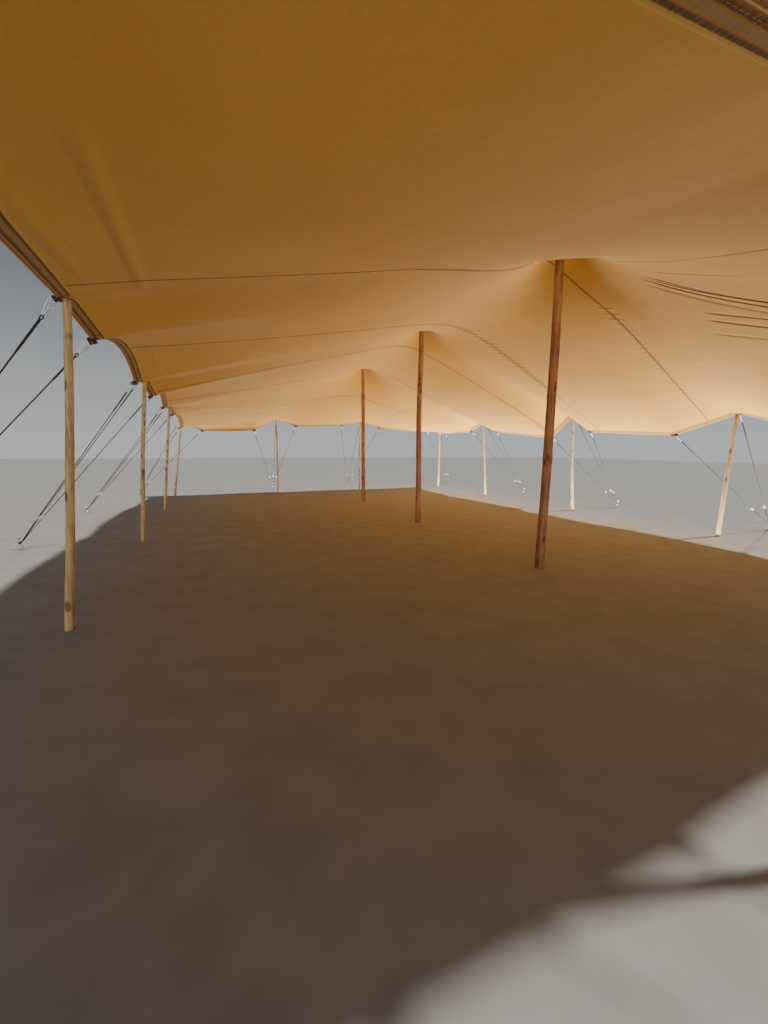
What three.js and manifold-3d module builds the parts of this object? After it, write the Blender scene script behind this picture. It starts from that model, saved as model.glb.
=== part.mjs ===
// A stretch tent: one sheet of stretch fabric on three king poles and fourteen
// edge poles, held down by ropes to steel stakes. Millimetres, +Z up, +Y along
// the tent, origin on the ground in the middle.
import * as THREE from 'three';
import { mergeVertices } from 'three/addons/utils/BufferGeometryUtils.js';
import Module from 'manifold-3d';

// Plan of the tent
const KING_ROWS = [-3700, 0, 3700];
const KING_X = 360;
const STAKE_REACH = 1650;

// Foot of each edge pole, and the plan direction from the tent to its stake
const EDGE_POLES = {
  left_1: { foot: [-5020, -7310], outward: [-1, -1] },
  left_2: { foot: [-4950, -3700], outward: [-1, 0] },
  left_3: { foot: [-4950, 0], outward: [-1, 0] },
  left_4: { foot: [-5040, 3840], outward: [-1, 0] },
  left_5: { foot: [-5100, 7050], outward: [-1, 1] },
  right_1: { foot: [5100, -7310], outward: [1, -1] },
  right_2: { foot: [5030, -3300], outward: [1, 0] },
  right_3: { foot: [5040, 150], outward: [1, 0] },
  right_4: { foot: [4900, 3820], outward: [1, 0] },
  right_5: { foot: [4950, 7240], outward: [1, 1] },
  near_1: { foot: [-1400, -7310], outward: [0, -1] },
  near_2: { foot: [1420, -7310], outward: [0, -1] },
  far_1: { foot: [-1730, 7310], outward: [0, 1] },
  far_2: { foot: [1400, 7240], outward: [0, 1] },
};

// The mounted sheet's edges in plan, and the points that hold its hem, in order
// along each side: where a point lies, its height, and its inset from the edge.
// rise and bow shape the free hem from a clamp to the next point.
const LEFT_EDGE = -4820;
const RIGHT_EDGE = 5080;
const NEAR_EDGE = -7200;
const FAR_EDGE = 7190;
const pole = (name, along, height, inset) => ({ pole: name, along, height, inset, rise: 0, bow: 0 });
const clamp = (along, height, inset, rise = 0, bow = 0) => ({ along, height, inset, rise, bow });
const LEFT_HEM = [
  pole('left_1', NEAR_EDGE, 2560, 0), clamp(-6500, 2540, 100, 60, 60),
  clamp(-5200, 2680, 190), pole('left_2', -3700, 2780, 60), clamp(-2970, 2630, 100, 220, 30),
  clamp(-550, 2570, 40), pole('left_3', 0, 2690, 40), clamp(650, 2500, 80, 220, 30),
  clamp(3050, 2520, 0), pole('left_4', 3700, 2600, 20), clamp(4350, 2450, 60, 120, 50),
  clamp(6520, 2200, 40), pole('left_5', FAR_EDGE, 2460, 0),
];
const RIGHT_HEM = [
  pole('right_1', NEAR_EDGE, 2400, 100), clamp(-6500, 2100, 220, 40, 80),
  clamp(-4350, 1950, 200), pole('right_2', -3350, 2260, 0), clamp(-2400, 1900, 220, 0, 60),
  clamp(-450, 2030, 300), pole('right_3', 100, 2480, 280), clamp(800, 1920, 300, 0, 60),
  clamp(3150, 2160, 340), pole('right_4', 3800, 2500, 380), clamp(4600, 2210, 320, 0, 60),
  clamp(6500, 2200, 240), pole('right_5', FAR_EDGE, 2320, 140),
];
const NEAR_HEM = [
  pole('left_1', LEFT_EDGE, 2560, 0), clamp(-4170, 2520, 20, 20, 0),
  clamp(-2050, 2620, 0), pole('near_1', -1400, 2750, 0), clamp(-750, 2550, 40, 40, 50),
  clamp(800, 2450, 60), pole('near_2', 1420, 2620, 0), clamp(2080, 2400, 60, 40, 60),
  clamp(4300, 2200, 60), pole('right_1', RIGHT_EDGE, 2400, 0),
];
const FAR_HEM = [
  pole('left_5', LEFT_EDGE, 2460, 0), clamp(-4150, 2160, 60, -20, 50),
  clamp(-2500, 2200, 60), pole('far_1', -1730, 2600, 0), clamp(-1040, 2380, 60, -20, 40),
  clamp(660, 2450, 60), pole('far_2', 1420, 2600, 0), clamp(2180, 2390, 60, -20, 50),
  clamp(4300, 2290, 60), pole('right_5', RIGHT_EDGE, 2320, 0),
];

// Height of the fabric's underside on the king poles
const KING_HEIGHT = 4050;

// Fabric. Tensions are in newtons, or newtons a metre where they spread over the sheet.
const FABRIC_THICKNESS = 12;
const CAP_HALF = 100;
const PATCH_HALF = 60;
const PATCH_DEPTH = 130;
const GRID_STEP = 560;
const CLOSEST_LINES = 25;
const TENSION_ACROSS = 1.6;
const TENSION_ALONG = 0.1;
const SPINE_TENSION = 7.0;
const SPINE_WIDTH = 1200;
const RIDGE_TENSION = 2.0;
const VALLEY_TENSION = 1.2;
const RELAX_ROUNDS = 900;
const OVER_RELAX = 1.85;

// Poles
const KING_BOTTOM_RADIUS = 63;
const KING_TOP_RADIUS = 52;
const EDGE_BOTTOM_RADIUS = 36;
const EDGE_TOP_RADIUS = 30;
const POLE_TOP_INSET = 60;
const KING_BOW = 22;
const EDGE_BOW = 16;

// Ropes, clamps, links and stakes
const ROPE_RADIUS = 6;
const ROPE_SIDES = 5;
const LINK_CORNERS = 6;
const HEM_CLAMP = { length: 110, depth: 72, height: 40, grip: 34 };
const POLE_CLAMP = { length: 60, depth: 56, height: 34, grip: 22 };
const LINK_LENGTH = 150;
const LINK_WIDTH = 72;
const LINK_BAR = 11;
const STAKE_RADIUS = 14;
const STAKE_SIDES = 8;
const STAKE_TWIST = 0.13;
const STAKE_HEAD_RADIUS = 24;
const STAKE_HEIGHT = 210;
const STAKE_LEAN = 0.2;
const STAKE_RING_HEIGHT = 95;
const STAKE_RING_BAR = 12;
const STAKE_RING_DEPTH = 36;
const ROPE_SPREAD = 0.6;

const SEAT_GAP = 0.3;
const WELD = 0.03;
const SLIVER_ROUNDS = 4;

const wasm = await Module();
wasm.setup();

const paint = (color, roughness, metalness = 0) =>
  new THREE.MeshStandardMaterial({ color, roughness, metalness });
const fabricFinish = () => paint(0xb98d52, 0.9);
const kingFinish = () => paint(0x9c6b3a, 0.75);
const poleFinish = () => paint(0xc9a978, 0.75);
const ropeFinish = () => paint(0x17181a, 0.8);
const steelFinish = () => paint(0x8e9296, 0.35, 0.9);

const tent = new THREE.Group();

function place(name, geometry, material) {
  const mesh = new THREE.Mesh(geometry, material);
  mesh.name = name;
  tent.add(mesh);
}

// A geometry with shared corners, as a solid needs it
function welded(geometry) {
  const bare = geometry.clone();
  bare.deleteAttribute('normal');
  bare.deleteAttribute('uv');
  return mergeVertices(bare, 1e-3);
}

function toSolid(geometry) {
  const merged = welded(geometry);
  const vertProperties = new Float32Array(merged.attributes.position.array);
  const triVerts = new Uint32Array(merged.index.array);
  return new wasm.Manifold(new wasm.Mesh({ numProp: 3, vertProperties, triVerts }));
}

const faceTurns = (face) => [0, 1, 2].map((step) => [0, 1, 2].map((side) => face[(step + side) % 3]));

// A face turned so that its longest side comes first, and its height over that side
function thinness(corners, face) {
  const turns = faceTurns(face);
  const lengths = turns.map(([a, b]) => corners[a].distanceTo(corners[b]));
  const longest = lengths.indexOf(Math.max(...lengths));
  const [a, b, c] = turns[longest];
  const area = corners[b].clone().sub(corners[a]).cross(corners[c].clone().sub(corners[a])).length();
  return { turned: [a, b, c], height: area / lengths[longest] };
}

// Where a face's corner lies on its own longest side, that side is swapped for
// one from the corner into the next face, so that no face is a sliver
function turnSlivers(corners, faces) {
  for (let round = 0; round < SLIVER_ROUNDS; round += 1) {
    for (let k = 0; k < faces.length; k += 1) {
      const { turned: [a, b, c], height } = thinness(corners, faces[k]);
      if (height < WELD) {
        const runsBack = ([from, to]) => from === b && to === a;
        const nextFace = faces.findIndex((face) => faceTurns(face).some(runsBack));
        const d = faces[nextFace].find((corner) => corner !== a && corner !== b);
        const swapped = [[a, d, c], [d, b, c]];
        const better = swapped.every((face) => thinness(corners, face).height > height * 1.5);
        const joined = faces.some((face) => face.includes(c) && face.includes(d));
        if (better && !joined) {
          [faces[k], faces[nextFace]] = swapped;
        }
      }
    }
  }
}

// A joined solid's mesh, with corners closer than WELD made one and flattened faces dropped
function toGeometry(solid) {
  const mesh = solid.getMesh();
  const corners = [];
  const renamed = [];
  for (let k = 0; k < mesh.vertProperties.length; k += 3) {
    const corner = new THREE.Vector3().fromArray(mesh.vertProperties, k);
    let match = corners.findIndex((other) => other.distanceTo(corner) < WELD);
    if (match < 0) match = corners.push(corner) - 1;
    renamed.push(match);
  }
  const faces = [];
  for (let k = 0; k < mesh.triVerts.length; k += 3) {
    const [a, b, c] = [0, 1, 2].map((step) => renamed[mesh.triVerts[k + step]]);
    if (a !== b && b !== c && c !== a) faces.push([a, b, c]);
  }
  turnSlivers(corners, faces);
  const geometry = new THREE.BufferGeometry().setFromPoints(corners);
  geometry.setIndex(faces.flat());
  geometry.computeVertexNormals();
  return geometry;
}

// Plan point on the hem at its side, along it, with the inset given there
const SIDES = [
  { points: LEFT_HEM, hem: new THREE.Vector3(0, 1, 0), at: (along, inset) => [LEFT_EDGE + inset, along] },
  { points: RIGHT_HEM, hem: new THREE.Vector3(0, 1, 0), at: (along, inset) => [RIGHT_EDGE - inset, along] },
  { points: NEAR_HEM, hem: new THREE.Vector3(1, 0, 0), at: (along, inset) => [along, NEAR_EDGE + inset] },
  { points: FAR_HEM, hem: new THREE.Vector3(1, 0, 0), at: (along, inset) => [along, FAR_EDGE - inset] },
];
const [LEFT_SIDE, RIGHT_SIDE, NEAR_SIDE, FAR_SIDE] = SIDES;

// Fourteen places where a pole carries the hem: its point on the cut sheet and
// on the mounted hem, and the clamps next to it
function listEdgePlaces() {
  return Object.entries(EDGE_POLES).map(([name, { foot, outward }]) => {
    const place = {
      name, foot: new THREE.Vector2(...foot), outward: new THREE.Vector2(...outward).normalize(), clamps: [],
    };
    SIDES.forEach(({ points, hem, at }) => {
      const index = points.findIndex((point) => point.pole === name);
      if (index < 0) return;
      const { along, inset, height } = points[index];
      place.cut ??= new THREE.Vector2(...at(along, 0));
      place.top ??= new THREE.Vector3(...at(along, inset), height);
      [points[index - 1], points[index + 1]].filter(Boolean).forEach((point) => {
        place.clamps.push({ hem, point: new THREE.Vector3(...at(point.along, point.inset), point.height) });
      });
    });
    return place;
  });
}

// Lines of the fabric's net: every mark that isn't close to the one before it is
// a line, and wide bays are divided
function netLines(marks) {
  const sorted = [...marks].sort((a, b) => a - b);
  const last = sorted[sorted.length - 1];
  const lines = [sorted[0]];
  sorted.slice(1).forEach((mark) => {
    const before = lines[lines.length - 1];
    const span = mark - before;
    if (span < CLOSEST_LINES || (mark !== last && last - mark < CLOSEST_LINES)) return;
    const parts = Math.ceil(span / GRID_STEP);
    for (let k = 1; k <= parts; k += 1) lines.push(before + (span * k) / parts);
  });
  return lines;
}

const around = (value, offset) => [value - offset, value + offset];
const hemMarks = ({ points }) =>
  points.slice(1, -1).flatMap(({ pole: name, along }) => (name ? around(along, PATCH_HALF) : [along]));

const xs = netLines([
  LEFT_EDGE, LEFT_EDGE + PATCH_DEPTH, ...around(KING_X, CAP_HALF),
  ...hemMarks(NEAR_SIDE), ...hemMarks(FAR_SIDE), RIGHT_EDGE - PATCH_DEPTH, RIGHT_EDGE,
]);
const ys = netLines([
  NEAR_EDGE, NEAR_EDGE + PATCH_DEPTH, ...KING_ROWS.flatMap((y) => around(y, CAP_HALF)),
  ...hemMarks(LEFT_SIDE), ...hemMarks(RIGHT_SIDE), FAR_EDGE - PATCH_DEPTH, FAR_EDGE,
]);
const columns = xs.length;
const lastColumn = columns - 1;
const lastRow = ys.length - 1;
const nodeAt = (i, j) => j * columns + i;
const nearest = (lines, value) => {
  const gaps = lines.map((line) => Math.abs(line - value));
  return gaps.indexOf(Math.min(...gaps));
};

// The hem's height and inset at a place along a side
function hemShape(points, along) {
  const before = points.findLast((point) => point.along <= along) ?? points[0];
  const after = points[Math.min(points.indexOf(before) + 1, points.length - 1)];
  const span = after.along - before.along;
  const share = span > 0 ? (along - before.along) / span : 0;
  const arch = 4 * share * (1 - share);
  const height = THREE.MathUtils.lerp(before.height, after.height, share) + before.rise * arch;
  const inset = THREE.MathUtils.lerp(before.inset, after.inset, share) + before.bow * arch;
  return { height, inset };
}

// The net's held nodes: the whole hem, and flat patches on the poles
function pinNet(places) {
  const pins = new Map();
  const lift = FABRIC_THICKNESS / 2;
  const hold = (i, j, x, y, height) => pins.set(nodeAt(i, j), new THREE.Vector3(x, y, height + lift));
  [[NEAR_SIDE, 0], [FAR_SIDE, lastRow]].forEach(([{ points, at }, j]) => xs.forEach((x, i) => {
    const { height, inset } = hemShape(points, x);
    hold(i, j, ...at(x, inset), height);
  }));
  [[LEFT_SIDE, 0], [RIGHT_SIDE, lastColumn]].forEach(([{ points, at }, i]) => ys.forEach((y, j) => {
    const { height, inset } = hemShape(points, y);
    hold(i, j, ...at(y, inset), height);
  }));
  places.forEach(({ cut, top, outward }) => {
    const reachX = (outward.x === 0 ? PATCH_HALF : PATCH_DEPTH) + CLOSEST_LINES;
    const reachY = (outward.y === 0 ? PATCH_HALF : PATCH_DEPTH) + CLOSEST_LINES;
    xs.forEach((x, i) => ys.forEach((y, j) => {
      const inPatch = Math.abs(x - cut.x) < reachX && Math.abs(y - cut.y) < reachY;
      if (inPatch) hold(i, j, x + top.x - cut.x, y + top.y - cut.y, top.z);
    }));
  });
  KING_ROWS.forEach((y) => {
    xs.forEach((x, i) => ys.forEach((along, j) => {
      const inCap = Math.abs(x - KING_X) <= CAP_HALF && Math.abs(along - y) <= CAP_HALF;
      if (inCap) hold(i, j, x, along, KING_HEIGHT);
    }));
  });
  return pins;
}

// Tension of the net's threads, per unit of their length
function threadPull() {
  const share = (lines, index) => {
    const before = index > 0 ? lines[index] - lines[index - 1] : 0;
    const after = index < lines.length - 1 ? lines[index + 1] - lines[index] : 0;
    return (before + after) / 2000;
  };
  const extra = (points, lines) => {
    const added = lines.map(() => 0);
    points.slice(1, -1).forEach((point) => {
      added[nearest(lines, point.along)] += point.pole ? 0 : VALLEY_TENSION;
    });
    return added;
  };
  const ridges = (points, lines) => {
    const added = extra(points, lines);
    points.slice(1, -1).filter((point) => point.pole).forEach((point) => {
      around(point.along, PATCH_HALF).forEach((mark) => { added[nearest(lines, mark)] += RIDGE_TENSION; });
    });
    return added;
  };
  const [left, right] = [extra(LEFT_HEM, ys), extra(RIGHT_HEM, ys)];
  const [near, far] = [ridges(NEAR_HEM, xs), ridges(FAR_HEM, xs)];
  const capRows = ys.map((y) => KING_ROWS.some((row) => Math.abs(y - row) <= CAP_HALF));
  const rowsInCap = capRows.filter(Boolean).length / KING_ROWS.length;
  const across = (i, j) => {
    const ridge = capRows[j] ? (2 * RIDGE_TENSION) / rowsInCap : 0;
    const valley = (xs[i] + xs[i + 1]) / 2 < KING_X ? left[j] : right[j];
    return (TENSION_ACROSS * share(ys, j) + ridge + valley) / (xs[i + 1] - xs[i]);
  };
  const along = (i, j) => {
    const middle = (ys[j] + ys[j + 1]) / 2;
    const spine = SPINE_TENSION * Math.exp(-(((xs[i] - KING_X) / SPINE_WIDTH) ** 2));
    const added = middle < KING_ROWS[0] ? near[i] : middle > KING_ROWS[2] ? far[i] : 0;
    return ((TENSION_ALONG + spine) * share(xs, i) + added) / (ys[j + 1] - ys[j]);
  };
  return { across, along };
}

// Every free node moves to the balance point of its threads until the net rests
function relaxNet(pins) {
  const { across, along } = threadPull();
  const points = [];
  ys.forEach((y) => xs.forEach((x) => points.push(new THREE.Vector3(x, y, KING_HEIGHT * 0.7))));
  pins.forEach((point, node) => points[node].copy(point));
  const threads = points.map(() => []);
  const tie = (here, other, pull) => {
    threads[here].push([other, pull]);
    threads[other].push([here, pull]);
  };
  for (let j = 0; j <= lastRow; j += 1) {
    for (let i = 0; i <= lastColumn; i += 1) {
      if (i < lastColumn) tie(nodeAt(i, j), nodeAt(i + 1, j), across(i, j));
      if (j < lastRow) tie(nodeAt(i, j), nodeAt(i, j + 1), along(i, j));
    }
  }
  const target = new THREE.Vector3();
  for (let round = 0; round < RELAX_ROUNDS; round += 1) {
    points.forEach((point, node) => {
      if (pins.has(node)) return;
      let total = 0;
      target.set(0, 0, 0);
      threads[node].forEach(([other, pull]) => {
        target.addScaledVector(points[other], pull);
        total += pull;
      });
      target.divideScalar(total);
      point.addScaledVector(target.sub(point), OVER_RELAX);
    });
  }
  return points;
}

// Upright direction of the fabric at each node, straight up on the pole patches
function netNormals(points) {
  return points.map((point, node) => {
    const i = node % columns;
    const j = Math.floor(node / columns);
    const east = points[nodeAt(Math.min(i + 1, lastColumn), j)].clone();
    const north = points[nodeAt(i, Math.min(j + 1, lastRow))].clone();
    east.sub(points[nodeAt(Math.max(i - 1, 0), j)]);
    north.sub(points[nodeAt(i, Math.max(j - 1, 0))]);
    return east.cross(north).normalize();
  });
}

// Closed sheet: the net raised and lowered by half its thickness, with its rim closed.
// spread pushes the rim outwards in plan.
function sheetGeometry(points, flatNodes, halfThickness, spread = 0) {
  const normals = netNormals(points);
  const count = points.length;
  const positions = new Float32Array(count * 6);
  points.forEach((point, node) => {
    const i = node % columns;
    const j = Math.floor(node / columns);
    const push = new THREE.Vector3(
      i === 0 ? -spread : i === lastColumn ? spread : 0,
      j === 0 ? -spread : j === lastRow ? spread : 0,
      0,
    );
    const normal = flatNodes.has(node) ? new THREE.Vector3(0, 0, 1) : normals[node];
    const top = point.clone().add(push).addScaledVector(normal, halfThickness);
    const bottom = point.clone().add(push).addScaledVector(normal, -halfThickness);
    positions.set(top.toArray(), node * 3);
    positions.set(bottom.toArray(), (count + node) * 3);
  });
  const index = [];
  const quad = (a, b, c, d) => index.push(a, b, c, a, c, d);
  for (let j = 0; j < lastRow; j += 1) {
    for (let i = 0; i < lastColumn; i += 1) {
      const [a, b] = [nodeAt(i, j), nodeAt(i + 1, j)];
      const [c, d] = [nodeAt(i + 1, j + 1), nodeAt(i, j + 1)];
      quad(a, b, c, d);
      quad(count + a, count + d, count + c, count + b);
    }
  }
  for (let i = 0; i < lastColumn; i += 1) {
    quad(count + nodeAt(i, 0), count + nodeAt(i + 1, 0), nodeAt(i + 1, 0), nodeAt(i, 0));
    const [a, b] = [nodeAt(i, lastRow), nodeAt(i + 1, lastRow)];
    quad(a, b, count + b, count + a);
  }
  for (let j = 0; j < lastRow; j += 1) {
    quad(nodeAt(0, j), nodeAt(0, j + 1), count + nodeAt(0, j + 1), count + nodeAt(0, j));
    quad(count + nodeAt(lastColumn, j), count + nodeAt(lastColumn, j + 1),
      nodeAt(lastColumn, j + 1), nodeAt(lastColumn, j));
  }
  const geometry = new THREE.BufferGeometry();
  geometry.setAttribute('position', new THREE.BufferAttribute(positions, 3));
  geometry.setIndex(index);
  geometry.computeVertexNormals();
  return geometry;
}

// A peeled log: tapering, slightly bowed, leaning from its base to its top, sawn level at both ends
function poleGeometry({ base, top, height, bottomRadius, topRadius, bow, sides, rings, turn }) {
  const profile = [new THREE.Vector2(0, 0)];
  for (let ring = 0; ring <= rings; ring += 1) {
    const t = ring / rings;
    profile.push(new THREE.Vector2(THREE.MathUtils.lerp(bottomRadius, topRadius, t), height * t));
  }
  profile.push(new THREE.Vector2(0, height));
  const geometry = new THREE.LatheGeometry(profile, sides);
  geometry.rotateX(Math.PI / 2);
  const position = geometry.attributes.position;
  for (let k = 0; k < position.count; k += 1) {
    const t = position.getZ(k) / height;
    const bulge = Math.sin(Math.PI * t);
    const sway = bow * bulge * (bulge + 0.35 * Math.sin(3 * Math.PI * t + turn));
    const axis = new THREE.Vector2().lerpVectors(base, top, t);
    position.setX(k, position.getX(k) + axis.x + sway * Math.cos(turn));
    position.setY(k, position.getY(k) + axis.y + sway * Math.sin(turn));
  }
  geometry.computeVertexNormals();
  return welded(geometry);
}

// Turns a shape made along +Z to run from one point towards another, with its
// Y side level with side
function aim(geometry, from, to, side = new THREE.Vector3(0.6, 0.8, 0)) {
  const along = to.clone().sub(from).normalize();
  const across = side.clone().addScaledVector(along, -side.dot(along)).normalize();
  const up = across.clone().cross(along);
  const frame = new THREE.Matrix4().makeBasis(up, across, along).setPosition(from);
  return geometry.applyMatrix4(frame);
}

// A taut rope
function ropeSolid(from, to) {
  const length = from.distanceTo(to);
  const geometry = new THREE.CylinderGeometry(ROPE_RADIUS, ROPE_RADIUS, length, ROPE_SIDES);
  geometry.rotateX(Math.PI / 2).translate(0, 0, length / 2);
  return toSolid(aim(geometry, from, to));
}

// A snap hook drawn as an oval bar ring, lying flat with the hem
function linkSolid(from, to, side) {
  const halfLength = LINK_LENGTH / 2;
  const halfWidth = LINK_WIDTH / 2;
  const oval = (inset) => {
    const points = [];
    for (let k = 0; k < LINK_CORNERS; k += 1) {
      const angle = ((k + 0.5) * 2 * Math.PI) / LINK_CORNERS;
      points.push(new THREE.Vector2(
        (halfWidth - inset) * Math.cos(angle),
        halfLength + (halfLength - inset) * Math.sin(angle),
      ));
    }
    return points;
  };
  const shape = new THREE.Shape(oval(0));
  shape.holes.push(new THREE.Path(oval(LINK_BAR)));
  const geometry = new THREE.ExtrudeGeometry(shape, { depth: LINK_BAR, bevelEnabled: false });
  geometry.translate(0, 0, -LINK_BAR / 2).rotateX(Math.PI / 2).rotateZ(Math.PI / 2);
  return toSolid(aim(geometry, from, to, side));
}

// The clamp that grips the hem
function clampSolid(grip, direction, side, size) {
  const geometry = new THREE.BoxGeometry(size.height, size.length, size.depth);
  geometry.translate(0, 0, size.depth / 2 - size.grip);
  return toSolid(aim(geometry, grip, grip.clone().add(direction), side));
}

const stakeFoot = (place) => {
  const foot = place.foot.clone().addScaledVector(place.outward, STAKE_REACH);
  return new THREE.Vector3(foot.x, foot.y, 0);
};
const stakeAxis = (place) =>
  new THREE.Vector3(place.outward.x * Math.sin(STAKE_LEAN), place.outward.y * Math.sin(STAKE_LEAN),
    Math.cos(STAKE_LEAN));

function stakeSolid(place) {
  const buried = 60;
  const profile = [
    [0, -buried], [STAKE_RADIUS, -buried], [STAKE_RADIUS, STAKE_HEIGHT - 40],
    [STAKE_HEAD_RADIUS, STAKE_HEIGHT - 26], [STAKE_HEAD_RADIUS, STAKE_HEIGHT - 6],
    [STAKE_HEAD_RADIUS - 8, STAKE_HEIGHT], [0, STAKE_HEIGHT],
  ].map(([r, h]) => new THREE.Vector2(r, h));
  const geometry = new THREE.LatheGeometry(profile, STAKE_SIDES, STAKE_TWIST).rotateX(Math.PI / 2);
  const foot = stakeFoot(place);
  const stake = toSolid(aim(geometry, foot, foot.clone().add(stakeAxis(place))));
  const ground = new THREE.BoxGeometry(400, 400, 200).translate(foot.x, foot.y, -100);
  return stake.subtract(toSolid(ground));
}

// Turns of rope round the stake, drawn as one collar, that the three ropes run to
function stakeRingSolid(place) {
  const inner = STAKE_RADIUS + SEAT_GAP;
  const outer = inner + STAKE_RING_BAR;
  const profile = [[inner, 0], [outer, 0], [outer, STAKE_RING_DEPTH], [inner, STAKE_RING_DEPTH], [inner, 0]]
    .map(([r, h]) => new THREE.Vector2(r, h + STAKE_RING_HEIGHT));
  const geometry = new THREE.LatheGeometry(profile, STAKE_SIDES, STAKE_TWIST).rotateX(Math.PI / 2);
  const foot = stakeFoot(place);
  return toSolid(aim(geometry, foot, foot.clone().add(stakeAxis(place))));
}

// Three ropes side by side on the stake's ring, with their clamps and links
function guySet(place, gripZone) {
  const outward = new THREE.Vector3(place.outward.x, place.outward.y, 0);
  const aside = new THREE.Vector3(-outward.y, outward.x, 0);
  const lift = new THREE.Vector3(0, 0, FABRIC_THICKNESS / 2);
  const poleGrip = { grip: place.top.clone().add(lift), hem: aside, size: POLE_CLAMP };
  const hemGrips = place.clamps.map(({ point, hem }) => (
    { grip: point.clone().add(lift), hem, size: HEM_CLAMP }
  ));
  const ringHeight = STAKE_RING_HEIGHT + STAKE_RING_DEPTH / 2;
  const ringMiddle = stakeFoot(place).addScaledVector(stakeAxis(place), ringHeight);
  const ringRadius = STAKE_RADIUS + SEAT_GAP + STAKE_RING_BAR * 0.66;
  let solid = stakeRingSolid(place);
  [poleGrip, ...hemGrips].forEach(({ grip, hem, size }) => {
    const turn = Math.sign(Math.round(grip.clone().sub(poleGrip.grip).dot(aside))) * ROPE_SPREAD;
    const eye = ringMiddle.clone().addScaledVector(outward, -ringRadius * Math.cos(turn));
    eye.addScaledVector(aside, ringRadius * Math.sin(turn));
    const pull = eye.clone().sub(grip).normalize();
    const clampDirection = outward.clone().add(pull).normalize();
    const linkStart = grip.clone().addScaledVector(clampDirection, size.depth - size.grip - LINK_BAR);
    const ropeStart = linkStart.clone().addScaledVector(pull, LINK_LENGTH - LINK_BAR);
    solid = solid.add(clampSolid(grip, clampDirection, hem, size).subtract(gripZone));
    solid = solid.add(linkSolid(linkStart, eye, hem));
    solid = solid.add(ropeSolid(ropeStart, eye));
  });
  return solid;
}

const edgePlaces = listEdgePlaces();
const pins = pinNet(edgePlaces);
const net = relaxNet(pins);
const patchHeights = [KING_HEIGHT, ...edgePlaces.map((item) => item.top.z)]
  .map((height) => height + FABRIC_THICKNESS / 2);
const flatNodes = new Set();
pins.forEach((point, node) => {
  if (patchHeights.some((height) => Math.abs(height - point.z) < 0.01)) flatNodes.add(node);
});

place('canopy', sheetGeometry(net, flatNodes, FABRIC_THICKNESS / 2), fabricFinish());
const gripZone = toSolid(sheetGeometry(net, flatNodes, FABRIC_THICKNESS / 2 + SEAT_GAP, SEAT_GAP));

KING_ROWS.forEach((y, index) => {
  const foot = new THREE.Vector2(KING_X, y);
  const geometry = poleGeometry({
    base: foot, top: foot, height: KING_HEIGHT - SEAT_GAP, bottomRadius: KING_BOTTOM_RADIUS,
    topRadius: KING_TOP_RADIUS, bow: KING_BOW, sides: 12, rings: 7, turn: index * 2.1,
  });
  place(`king_pole_${index + 1}`, geometry, kingFinish());
});

edgePlaces.forEach((item, index) => {
  const { x, y } = item.top;
  const top = new THREE.Vector2(
    x - Math.sign(item.outward.x) * POLE_TOP_INSET,
    y - Math.sign(item.outward.y) * POLE_TOP_INSET,
  );
  const geometry = poleGeometry({
    base: item.foot, top, height: item.top.z - SEAT_GAP, bottomRadius: EDGE_BOTTOM_RADIUS,
    topRadius: EDGE_TOP_RADIUS, bow: EDGE_BOW, sides: 10, rings: 5, turn: index * 2.4,
  });
  place(`edge_pole_${item.name}`, geometry, poleFinish());
  const stake = stakeSolid(item);
  place(`stake_${item.name}`, toGeometry(stake), steelFinish());
  place(`guy_ropes_${item.name}`, toGeometry(guySet(item, gripZone)), ropeFinish());
});

export default tent;
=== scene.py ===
import math

import bmesh
import bpy
import numpy as np
from mathutils import Matrix, Vector


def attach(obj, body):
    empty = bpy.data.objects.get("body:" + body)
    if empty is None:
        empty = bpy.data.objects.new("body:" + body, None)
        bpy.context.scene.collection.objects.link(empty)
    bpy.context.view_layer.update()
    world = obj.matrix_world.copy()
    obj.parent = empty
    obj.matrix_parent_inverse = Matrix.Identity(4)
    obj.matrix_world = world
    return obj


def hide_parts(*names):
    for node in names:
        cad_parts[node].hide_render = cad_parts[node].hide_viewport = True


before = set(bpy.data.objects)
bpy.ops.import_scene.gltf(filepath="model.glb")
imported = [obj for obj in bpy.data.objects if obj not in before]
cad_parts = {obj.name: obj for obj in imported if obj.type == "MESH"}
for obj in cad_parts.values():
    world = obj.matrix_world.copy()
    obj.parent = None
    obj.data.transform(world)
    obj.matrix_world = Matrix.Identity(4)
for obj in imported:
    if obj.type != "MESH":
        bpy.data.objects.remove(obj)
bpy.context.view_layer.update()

# View, light and floor.
# The camera stands at head height just outside the near edge, a wide lens tipped a little
# downwards. A soft high key light comes from the right, and the floor is plain and pale. Light
# lies on the floor round the tent, where sunlit ground would light it from below.
EYE = Vector((-3.62, -7.87, 1.607))
HEADING = Vector((0.3732, 0.9278, 0.0))
PITCH = math.radians(8.96)
ROLL = math.radians(0.32)
FOCAL_IN_PIXELS = 403.0
PHOTO_HEIGHT = 1024.0
SENSOR = 36.0

forward = Vector((HEADING.x * math.cos(PITCH), HEADING.y * math.cos(PITCH), -math.sin(PITCH)))
level_right = Vector((HEADING.y, -HEADING.x, 0.0))
level_up = level_right.cross(forward)
camera_right = level_right * math.cos(ROLL) + level_up * math.sin(ROLL)
camera_up = level_up * math.cos(ROLL) - level_right * math.sin(ROLL)
camera_data = bpy.data.cameras.new("camera")
camera_data.sensor_width = SENSOR
camera_data.lens = SENSOR * FOCAL_IN_PIXELS / PHOTO_HEIGHT
camera_data.clip_end = 400
camera = bpy.data.objects.new("camera", camera_data)
bpy.context.scene.collection.objects.link(camera)
axes = Matrix((camera_right, camera_up, -forward)).transposed().to_4x4()
camera.matrix_world = Matrix.Translation(EYE) @ axes
bpy.context.scene.camera = camera


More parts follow.
